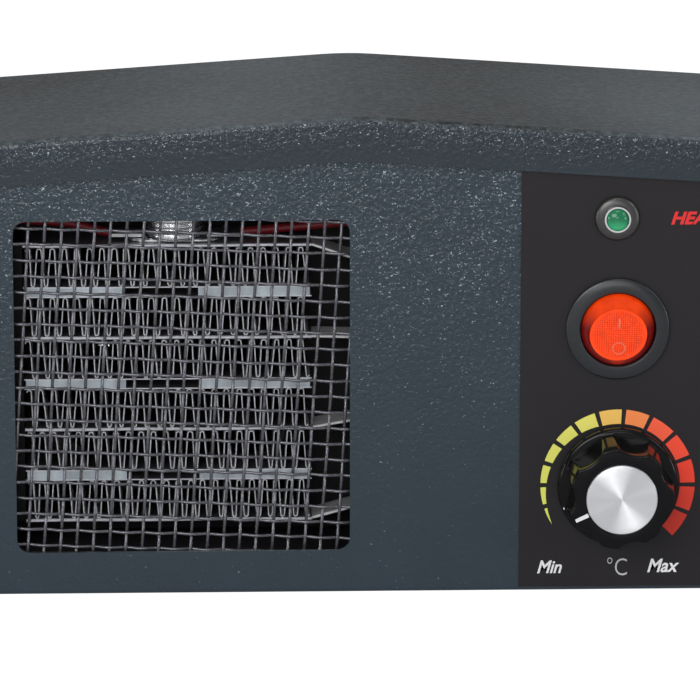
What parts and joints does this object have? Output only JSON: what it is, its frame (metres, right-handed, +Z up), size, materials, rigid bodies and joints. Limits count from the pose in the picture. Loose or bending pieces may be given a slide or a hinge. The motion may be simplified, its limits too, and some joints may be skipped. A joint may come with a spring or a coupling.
{
  "type": "ceramic space heater",
  "caption": "Compact ceramic space heater: gabled sheet-steel case, wire-mesh outlet over a PTC fin stack, pilot lamp, round rocker switch and thermostat knob.",
  "frame": {"origin": "on the surface the feet stand on, at the middle of the whole part in x and y", "axes": "+X to the right across the front, +Y to the rear, +Z up"},
  "size_m": [0.2034, 0.1074, 0.1238],
  "materials": {
    "hood_paint": "blue-grey hammertone powder coat, semi-gloss",
    "case_paint": "blue-grey hammertone powder coat, semi-gloss",
    "label_black": "black printed polycarbonate label",
    "zinc_steel": "zinc-plated steel",
    "mesh_steel": "woven steel wire",
    "duct_black": "matt black heat-resistant paint",
    "fin_aluminium": "corrugated aluminium strip",
    "plate_aluminium": "bright aluminium",
    "ptc_ceramic": "metallised barium titanate chip",
    "black_moulding": "black heat-resistant moulding",
    "red_insulation": "red silicone insulation",
    "copper": "bare copper",
    "knob_black": "polished black phenolic",
    "spun_aluminium": "spun aluminium",
    "rocker_orange": "translucent orange-red polycarbonate",
    "gloss_black": "glossy black moulding",
    "chrome": "plated ring",
    "green_lens": "translucent green lens",
    "foot_rubber": "black rubber",
    "block_white": "ivory polyamide",
    "brass": "nickel-free brass"
  },
  "bodies": {
    "case": {"air_duct": "duct_black", "cable_gland": "gloss_black", "capillary": "copper", "chassis": "case_paint", "chip_1_left": "ptc_ceramic", "chip_1_right": "ptc_ceramic", "chip_2_left": "ptc_ceramic", "chip_2_right": "ptc_ceramic", "chip_3_left": "ptc_ceramic", "chip_3_right": "ptc_ceramic", "contact_plate_1": "plate_aluminium", "contact_plate_2": "plate_aluminium", "contact_plate_3": "plate_aluminium", "contact_plate_4": "plate_aluminium", "control_label": "label_black", "cutout_terminals": "zinc_steel", "electrodes_1": "plate_aluminium", "electrodes_2": "plate_aluminium", "electrodes_3": "plate_aluminium", "fan_frame": "black_moulding", "fan_screws": "zinc_steel", "fan_stator": "black_moulding", "fin_row_1": "fin_aluminium", "fin_row_2": "fin_aluminium", "fin_row_3": "fin_aluminium", "fin_row_4": "fin_aluminium", "fin_row_5": "fin_aluminium", "fin_row_6": "fin_aluminium", "foot_1": "foot_rubber", "foot_2": "foot_rubber", "foot_3": "foot_rubber", "foot_4": "foot_rubber", "foot_screws": "zinc_steel", "gland_nut": "gloss_black", "hood": "hood_paint", "hood_screws": "zinc_steel", "lamp_body": "black_moulding", "lamp_flange": "gloss_black", "lamp_lens": "green_lens", "lamp_ring": "chrome", "mesh_clamp": "zinc_steel", "mesh_guard": "mesh_steel", "ptc_carrier": "black_moulding", "rear_inlet_panel": "case_paint", "rear_screws": "zinc_steel", "rear_service_cover": "case_paint", "rocker_housing": "gloss_black", "rocker_terminals": "brass", "sensing_bulb": "copper", "terminal_block": "block_white", "thermal_cutout": "zinc_steel", "thermostat_body": "zinc_steel", "thermostat_nut": "zinc_steel", "wire_left": "red_insulation", "wire_right": "red_insulation"},
    "knob": {"thermostat_knob": "knob_black", "knob_cap": "spun_aluminium", "thermostat_spindle": "zinc_steel"},
    "rocker": {"rocker_button": "rocker_orange"},
    "impeller": {"fan_impeller": "black_moulding"}
  },
  "joints": [
    {"name": "knob_turn", "type": "hinge", "parent": "case", "child": "knob", "pos_m": [0.0642, -0.03902, 0.0313], "axis": [0, 1, 0], "range_deg": [0, 250]},
    {"name": "rocker_tilt", "type": "hinge", "parent": "case", "child": "rocker", "pos_m": [0.0637, -0.03803, 0.0708], "axis": [-1, 0, 0], "range_deg": [0, 26]},
    {"name": "fan_spin", "type": "hinge", "parent": "case", "child": "impeller", "pos_m": [-0.04605, 0.00898, 0.0555], "axis": [0, 1, 0], "continuous": true}
  ]
}
